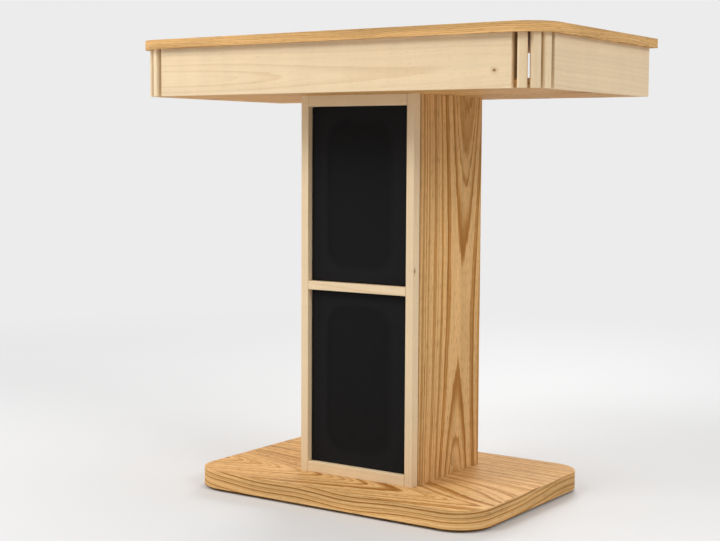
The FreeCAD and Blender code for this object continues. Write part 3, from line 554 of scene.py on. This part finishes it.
def grille_cloth(name, centre_z, open_x, open_z):
    """Black acoustic cloth: a plain weave of fine yarns, with painted shade where the sound opening behind
    it swallows light. open_x and open_z are half the opening's width and height."""
    finish = Finish(name)
    axes = finish.axes(finish.place)
    wander = finish.math("MULTIPLY", finish.noise(finish.place, WANDER_RATE, detail=1.0), YARN_WANDER)
    yarns = []
    for axis in ("X", "Z"):
        turn = finish.math("MULTIPLY", finish.math("ADD", axes[axis], wander), 2 * math.pi / YARN_PITCH)
        yarns.append(finish.math("SINE", turn))
    weave = finish.math("MULTIPLY_ADD", finish.math("MULTIPLY", *yarns), 0.5, 0.5)
    slub = finish.noise(finish.place, SLUB_RATE, detail=2.0)

    from_middle = finish.math("ABSOLUTE", finish.math("SUBTRACT", axes["Z"], centre_z))
    far_x = finish.math("SUBTRACT", finish.math("ABSOLUTE", axes["X"]), open_x - OPENING_CORNER)
    far_z = finish.math("SUBTRACT", from_middle, open_z - OPENING_CORNER)
    outside = finish.join(finish.math("MAXIMUM", far_x, 0.0), finish.math("MAXIMUM", far_z, 0.0), 0.0)
    outside = finish.vector("LENGTH", outside)
    inside = finish.math("MINIMUM", finish.math("MAXIMUM", far_x, far_z), 0.0)
    away = finish.math("SUBTRACT", finish.math("ADD", outside, inside), OPENING_CORNER)
    backed = finish.ease(away, *OPENING_FADE)

    colour = finish.mix(weave, YARN_DEEP, YARN_PALE)
    colour = finish.vary(colour, slub, amount=0.3)
    # Painted shade: the cloth is darkened over the opening, where the cavity behind sends back less light.
    colour = finish.shade(colour, finish.spread(backed, OPENING_TONE, 1.0))
    finish.set(Base_Color=colour, Roughness=finish.spread(weave, start=0.95, end=0.8))
    finish.set(Sheen_Weight=0.03, Sheen_Roughness=0.5, Specular_IOR_Level=0.15)
    finish.bump(weave, distance=0.00022, strength=0.8)
    return finish.material


def make_piece(name, shape, material):
    """An object made from a finished bmesh, in one material."""
    mesh = bpy.data.meshes.new(name)
    shape.to_mesh(mesh)
    shape.free()
    mesh.materials.append(material)
    piece = bpy.data.objects.new(name, mesh)
    bpy.context.scene.collection.objects.link(piece)
    return piece


# How far the cloth stands out past the board's edges, and lies behind its face over the opening.
CLOTH_LAP = 0.0006
CLOTH_SAG = 0.0009
# The distance from the opening's edge over which it sinks that far.
SAG_RUN = 0.012
# The radius at which it turns over the board's edges.
CLOTH_BEND = 0.0022
BEND_STEPS = 5
EDGE_STEPS = 3
FACE_COLUMNS = 60
FACE_ROWS = 90


def sheet_steps(half, cells, depth):
    """Distances across a sheet from its middle: over half its face in so many cells, round the bend, and
    back along the board's edge."""
    flat = half - CLOTH_BEND
    face = [flat * step / cells for step in range(cells + 1)]
    bend = [flat + CLOTH_BEND * math.pi / 2 * step / BEND_STEPS for step in range(1, BEND_STEPS + 1)]
    edge = [bend[-1] + (depth - CLOTH_BEND) * step / EDGE_STEPS for step in range(1, EDGE_STEPS + 1)]
    whole = face + bend + edge
    return [-distance for distance in reversed(whole[1:])] + whole


def fold(distance, half):
    """Where a distance across the sheet comes to lie: its place along the face, and how far it is turned
    back."""
    flat = half - CLOTH_BEND
    past = abs(distance) - flat
    if past <= 0.0:
        return distance, 0.0
    angle = min(past / CLOTH_BEND, math.pi / 2)
    place = flat + CLOTH_BEND * math.sin(angle)
    back = CLOTH_BEND * (1 - math.cos(angle)) + max(past - CLOTH_BEND * math.pi / 2, 0.0)
    return math.copysign(place, distance), back


def sag(x, z, open_x, open_z):
    """How far the cloth lies behind the board's face, at a place measured from the opening's middle."""
    far_x = abs(x) - (open_x - OPENING_CORNER)
    far_z = abs(z) - (open_z - OPENING_CORNER)
    outside = math.hypot(max(far_x, 0.0), max(far_z, 0.0))
    inside = min(max(far_x, far_z), 0.0)
    away = outside + inside - OPENING_CORNER
    share = min(max(-away / SAG_RUN, 0.0), 1.0)
    return CLOTH_SAG * share * share * (3 - 2 * share)


def cloth_cover(name, board, cloth, body):
    """Cloth stretched over a grille board: flat on the board, pulled round its edges, a little slack over
    the opening."""
    low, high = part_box(board)
    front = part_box(cloth)[0].y
    half_width = (high.x - low.x) / 2 + CLOTH_LAP
    half_height = (high.z - low.z) / 2 + CLOTH_LAP
    middle_x = (low.x + high.x) / 2
    middle_z = (low.z + high.z) / 2
    depth = high.y - front
    open_x = (high.x - low.x) / 2 - OPENING_BORDER
    open_z = (high.z - low.z) / 2 - OPENING_END

    shape = bmesh.new()
    rows = []
    for up in sheet_steps(half_height, FACE_ROWS, depth):
        row = []
        for over in sheet_steps(half_width, FACE_COLUMNS, depth):
            x, back_x = fold(over, half_width)
            z, back_z = fold(up, half_height)
            y = front + max(back_x, back_z) + sag(x, z, open_x, open_z)
            row.append(shape.verts.new((middle_x + x, y, middle_z + z)))
        rows.append(row)
    for lower, upper in zip(rows, rows[1:]):
        for left in range(len(lower) - 1):
            face = shape.faces.new((lower[left], lower[left + 1], upper[left + 1], upper[left]))
            face.smooth = True
    piece = make_piece(name, shape, grille_cloth(name, middle_z, open_x, open_z))
    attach(piece, body)
    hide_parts(cloth)


def dress(material, *names):
    """Give CAD nodes a material."""
    for name in names:
        slots = cad_nodes[name].data.materials
        slots.clear()
        slots.append(material)


def in_bays(*names):
    """The CAD nodes of these names in the lower and the upper bay."""
    return [f"{bay}_{name}" for name in names for bay in BAYS]


column_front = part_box("column_right_side")[0].y
dress(oak("oak_top", "XYZ", centre=(0.0, 0.03, 0.962), leaf=0.26, depth=0.05, lean=0.1, bow=0.03,
          drift=0.01, spacing=0.014, wobble=0.016), "top_panel")
dress(oak("oak_base", "XYZ", centre=(-0.035, -0.1415, 0.043), depth=0.014, lean=0.353, bow=-0.19,
          taper=1.0, drift=-0.086, spacing=0.0225, wobble=0.006), "base_plate")
dress(oak("oak_right_side", "ZYX", centre=(0.1405, 0.068, 0.388), seam_y=column_front, depth=0.0924,
          lean=0.0, bow=-0.15, drift=0.06, spacing=0.018, wobble=0.008), "column_right_side")
dress(oak("oak_left_side", "ZYX", centre=(-0.1405, -0.01, 0.52), seam_y=column_front, depth=0.05,
          lean=0.02, bow=-0.12, drift=-0.06, spacing=0.018, wobble=0.012), "column_left_side")
dress(oak("oak_door", "ZXY", centre=(0.01, 0.15, 0.3), depth=0.05, lean=0.04, bow=-0.06, drift=0.02,
          spacing=0.015, wobble=0.014), "rear_door")
dress(oak("oak_shelf", "XYZ", centre=(0.1, -0.02, 0.86), leaf=0.25, depth=0.05, lean=0.1, bow=0.0,
          drift=0.0, spacing=0.014, wobble=0.016), "gear_shelf")
dress(oak_band("oak_top_band", level=0.949, spacing=0.0034, strength=0.55), "top_edge_band")
dress(oak_band("oak_base_band", level=0.018, spacing=0.0088, strength=0.95), "base_edge_band")

dress(maple("maple_front", "XZY", centre=(0.1, -0.2465, 0.88), knot=FASCIA_KNOT, depth=0.03, lean=0.03,
            bow=0.0, drift=0.004, spacing=0.011, wobble=0.03), "front_fascia")
for side, outer_x in zip(SIDES, (-0.481, 0.481)):
    dress(maple(f"maple_{side}", "YZX", centre=(outer_x, 0.0, 0.79), depth=0.06, lean=0.03, bow=0.0,
                drift=0.0, spacing=0.008, wobble=0.02), f"{side}_fascia")
slats = [f"{side}_corner_slat_{number}" for side in SIDES for number in (1, 2, 3)]
dress(maple("maple_tall", "ZXY", centre=(0.02, -0.12, 0.4), knot=STILE_KNOT, depth=0.06, lean=0.02, bow=0.0,
            drift=0.0, spacing=0.005, wobble=0.025), "left_stile", "right_stile", *slats)
dress(maple("maple_rails", "XZY", centre=(0.05, -0.12, 0.43), rail_end=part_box("mid_rail")[1].x, depth=0.05,
            lean=0.02, bow=0.0, drift=0.0, spacing=0.005, wobble=0.02),
      "top_rail", "mid_rail", "bottom_rail")
dress(maple("maple_knob", "YZX", centre=(0.0, 0.16, 0.5), depth=0.01, lean=0.0, bow=0.0, drift=0.0,
            spacing=0.003, wobble=0.004), "door_knob")

dress(plywood("birch_boards", "XYZ"), "column_floor", "column_divider", "column_ceiling", "top_battens",
      "corner_blocks")
dress(speckled("black_board", tint(20, 20, 21), tint(30, 29, 30), grain=0.0007, rough=(0.62, 0.8),
               bump=0.00012), *in_bays("baffle", "grille_board"))
dress(speckled("moulded_black", tint(24, 24, 26), tint(33, 33, 35), grain=0.0005, rough=(0.38, 0.52),
               bump=0.00006), "door_catch", *in_bays("grille_studs", "grille_cups", "tweeter_body"))
dress(speckled("cast_frame", tint(36, 36, 38), tint(50, 50, 52), grain=0.0006, rough=(0.34, 0.5),
               bump=0.0001, Metallic=0.55), *in_bays("woofer_frame"))
dress(speckled("ferrite", tint(44, 44, 47), tint(62, 62, 65), grain=0.0009, rough=(0.5, 0.66),
               bump=0.00012), *in_bays("woofer_magnet"))
dress(speckled("cone_paper", tint(38, 36, 35), tint(60, 57, 54), grain=0.0011, rough=(0.72, 0.88),
               bump=0.0002), *in_bays("woofer_cone"))
dress(speckled("dust_cap", tint(30, 29, 29), tint(42, 41, 40), grain=0.0008, rough=(0.45, 0.6),
               bump=0.00012), *in_bays("dust_cap"))
dress(speckled("rubber", tint(25, 25, 26), tint(35, 34, 35), grain=0.0004, rough=(0.55, 0.7),
               bump=0.00006), "base_feet", *in_bays("woofer_surround"))
dress(speckled("dome_silk", tint(46, 40, 36), tint(64, 57, 50), grain=0.0004, rough=(0.5, 0.62),
               bump=0.00008), *in_bays("tweeter_dome"))
STEEL = brushed_steel("steel", "XZY")
dress(STEEL, "door_strike", "fixed_hinge_leaves", "door_hinge_leaves", "hinge_pins")
BLACK_SCREW = speckled("black_screw", tint(34, 34, 36), tint(52, 52, 54), grain=0.0004, rough=(0.26, 0.42),
                       bump=0.00004, Metallic=0.8)

for bay in BAYS:
    cloth_cover(f"{bay}_cloth", f"{bay}_grille_board", f"{bay}_grille_cloth", f"{bay}_grille")

SCREW_SIDES = 24
# A screw head from its foot to the bottom of its recess: the reach of each ring and how far it waves in and
# out with the recess's arms, in radii, and its level, in heights.
SCREW_RINGS = (
    (1.0, 0.0, 0.0),
    (1.0, 0.0, 0.35),
    (0.93, 0.0, 0.7),
    (0.78, 0.0, 0.95),
    (0.7, 0.0, 1.0),
    (0.42, 0.12, 1.0),
    (0.36, 0.12, 0.3),
)
CROSS_ARMS = 4
STAR_ARMS = 6
# A screw sunk flush into a plate stands out by this much.
FLUSH_HEAD = 0.00012
# The hinges: the gap between closed leaves, a leaf's length and width, and how its screws are spaced.
LEAF_GAP = 0.0004
LEAF_LENGTH = 0.060
LEAF_WIDTH = 0.014
LEAF_SCREW_PITCH = 0.021
LEAF_SCREW_STAGGER = 0.0022


def screw_head(shape, spot, turn, radius, height, arms):
    """Add a round screw head to a shape, with a driving recess of so many arms."""
    rings = []
    for reach, wave, level in SCREW_RINGS:
        ring = []
        for side in range(SCREW_SIDES):
            angle = 2 * math.pi * side / SCREW_SIDES
            size = radius * (reach + wave * math.cos(arms * angle))
            point = Vector((size * math.cos(angle), size * math.sin(angle), level * height))
            ring.append(shape.verts.new(spot + turn @ point))
        rings.append(ring)
    for outer, inner in zip(rings, rings[1:]):
        for side in range(SCREW_SIDES):
            after = (side + 1) % SCREW_SIDES
            shape.faces.new((outer[side], outer[after], inner[after], inner[side]))
    shape.faces.new(reversed(rings[0]))
    shape.faces.new(rings[-1])


def screws(name, spots, outward, radius, height, body, arms=CROSS_ARMS, material=STEEL):
    """One piece of screw heads on a face that looks outward."""
    turn = Vector(outward).to_track_quat("Z", "Y").to_matrix()
    shape = bmesh.new()
    for spot in spots:
        screw_head(shape, spot, turn, radius, height, arms)
    piece = make_piece(name, shape, material)
    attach(piece, body)


def middle_of(node):
    """The middle of a CAD node's box."""
    low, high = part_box(node)
    return (low + high) / 2


def either_side(spot, shift):
    """Two spots in X, one this far to the left of a spot and one as far to its right."""
    return [spot + Vector((way * shift, 0.0, 0.0)) for way in (-1, 1)]


def driver_screws(name, node, count, inset, radius, height):
    """A circle of screws on a driver's flange, inset from its rim."""
    low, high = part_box(node)
    middle = middle_of(node)
    reach = (high.x - low.x) / 2 - inset
    spots = []
    for number in range(count):
        angle = 2 * math.pi * (number + 0.5) / count
        x = middle.x + reach * math.cos(angle)
        z = middle.z + reach * math.sin(angle)
        spots.append(Vector((x, low.y, z)))
    screws(name, spots, FORWARD, radius, height, "booth", STAR_ARMS, BLACK_SCREW)


def hinge_screws(name, node, outward, body):
    """Three flush screws in each of the two leaves of a node, on the face that looks at the other leaf."""
    low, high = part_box(node)
    face_x = middle_of(node).x - outward * LEAF_GAP / 2
    spots = []
    for leaf_z in (low.z + LEAF_LENGTH / 2, high.z - LEAF_LENGTH / 2):
        for step in (-1, 0, 1):
            stagger = LEAF_SCREW_STAGGER if step else -LEAF_SCREW_STAGGER
            y = low.y + LEAF_WIDTH / 2 + stagger
            spots.append(Vector((face_x, y, leaf_z + step * LEAF_SCREW_PITCH)))
    screws(name, spots, (outward, 0, 0), radius=0.0031, height=FLUSH_HEAD, body=body)


for bay in BAYS:
    driver_screws(f"{bay}_woofer_screws", f"{bay}_woofer_frame", count=8, inset=0.005, radius=0.0035,
                  height=0.0026)
    driver_screws(f"{bay}_tweeter_screws", f"{bay}_tweeter_body", count=4, inset=0.007, radius=0.0031,
                  height=0.0016)
hinge_screws("fixed_hinge_screws", "fixed_hinge_leaves", outward=1, body="booth")
hinge_screws("door_hinge_screws", "door_hinge_leaves", outward=-1, body="door")
strike = middle_of("door_strike")
strike.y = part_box("door_strike")[0].y
screws("strike_screws", either_side(strike, shift=0.015), FORWARD, radius=0.0028, height=FLUSH_HEAD,
       body="door")
catch = middle_of("door_catch")
catch.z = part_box("door_catch")[0].z
screws("catch_screws", either_side(catch, shift=0.016), DOWNWARD, radius=0.003, height=0.0012,
       body="booth")
knob = middle_of("door_knob")
knob.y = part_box("rear_door")[0].y
screws("knob_screw", [knob], FORWARD, radius=0.004, height=0.0005, body="door")

FLOOR_RADIUS = 30.0
FLOOR_SIDES = 96
FLOOR_CLOUD_RATE = (1.5, 1.5, 1.5)
# How far from the booth the floor begins to turn into the background, and where it has done so.
FLOOR_FADE = (0.8, 3.6)
WORLD_STRENGTH = 0.36
# The lamps: each one's place, what it is aimed at, its width, and its power in watts.
LAMPS = {
    "key": ((-1.5, -2.6, 3.3), (0.0, 0.0, 0.5), 1.8, 78.0),
    "left": ((-3.4, -1.4, 1.9), (0.0, 0.0, 0.6), 1.8, 40.0),
    "fill": ((4.0, -1.2, 3.0), (0.0, 0.0, 0.5), 2.2, 78.0),
    "overhead": ((0.3, 0.6, 3.6), (0.0, 0.0, 0.5), 2.6, 26.0),
    "behind": ((-1.2, 3.4, 2.2), (0.0, 0.0, 0.5), 2.2, 55.0),
}
# The photograph's viewpoint: its place, its yaw, pitch and roll in degrees, its lens and image width in mm.
CAMERA_PLACE = (1.63927, -2.51844, 0.72790)
CAMERA_ANGLES = (34.20938, -4.85811, 0.28588)
CAMERA_LENS = 70.339
CAMERA_WIDTH = 36.0


def make_floor():
    """A wide pale floor that fades into the background far from the booth, so that no horizon shows."""
    finish = Finish("floor")
    cloud = finish.noise(finish.place, FLOOR_CLOUD_RATE, detail=3.0)
    finish.set(Base_Color=finish.mix(cloud, FLOOR_DEEP, FLOOR_PALE))
    finish.set(Roughness=finish.spread(cloud, start=0.6, end=0.72))
    glow = finish.add("ShaderNodeEmission")
    glow.inputs["Color"].default_value = BACKGROUND
    far = finish.ease(finish.vector("LENGTH", finish.place), *FLOOR_FADE)
    share = finish.math("MULTIPLY", far, finish.seen())
    surface = finish.blend(share, finish.shader.outputs[0], glow.outputs[0])
    finish.put(finish.tree.nodes["Material Output"].inputs["Surface"], surface)
    shape = bmesh.new()
    bmesh.ops.create_circle(shape, cap_ends=True, segments=FLOOR_SIDES, radius=FLOOR_RADIUS)
    floor = make_piece("floor", shape, finish.material)


def make_world():
    """An even pale background for what the camera sees, and a softer even light on the booth."""
    world = bpy.data.worlds.new("studio")
    bpy.context.scene.world = world
    world.use_nodes = True
    graph = Graph(world.node_tree)
    light = world.node_tree.nodes["Background"]
    light.inputs["Color"].default_value = (1.0, 1.0, 1.0, 1.0)
    light.inputs["Strength"].default_value = WORLD_STRENGTH
    backdrop = graph.add("ShaderNodeBackground")
    backdrop.inputs["Color"].default_value = BACKGROUND
    surface = graph.blend(graph.seen(), light.outputs[0], backdrop.outputs[0])
    graph.put(world.node_tree.nodes["World Output"].inputs["Surface"], surface)


def soft_lamp(name, place, aim, width, power):
    """A round area lamp."""
    light = bpy.data.lights.new(name, "AREA")
    light.shape = "DISK"
    light.size = width
    light.energy = power
    lamp = bpy.data.objects.new(name, light)
    lamp.location = place
    lamp.rotation_euler = (Vector(aim) - Vector(place)).to_track_quat("-Z", "Y").to_euler()
    bpy.context.scene.collection.objects.link(lamp)


def make_camera():
    """A camera at the photograph's viewpoint."""
    yaw, pitch, roll = (math.radians(angle) for angle in CAMERA_ANGLES)
    ahead = Vector((-math.sin(yaw) * math.cos(pitch), math.cos(yaw) * math.cos(pitch), math.sin(pitch)))
    right = Vector((math.cos(yaw), math.sin(yaw), 0.0))
    upward = right.cross(ahead)
    turned_right = right * math.cos(roll) + upward * math.sin(roll)
    turned_up = upward * math.cos(roll) - right * math.sin(roll)
    turn = Matrix((turned_right, turned_up, -ahead)).transposed()
    data = bpy.data.cameras.new("photo_view")
    data.sensor_fit = "HORIZONTAL"
    data.sensor_width = CAMERA_WIDTH
    data.lens = CAMERA_LENS
    camera = bpy.data.objects.new("photo_view", data)
    camera.matrix_world = Matrix.Translation(CAMERA_PLACE) @ turn.to_4x4()
    bpy.context.scene.collection.objects.link(camera)
    bpy.context.scene.camera = camera


make_floor()
make_world()
for lamp_name, lamp_values in LAMPS.items():
    soft_lamp(lamp_name, *lamp_values)
make_camera()
bpy.context.scene.view_settings.view_transform = "Standard"
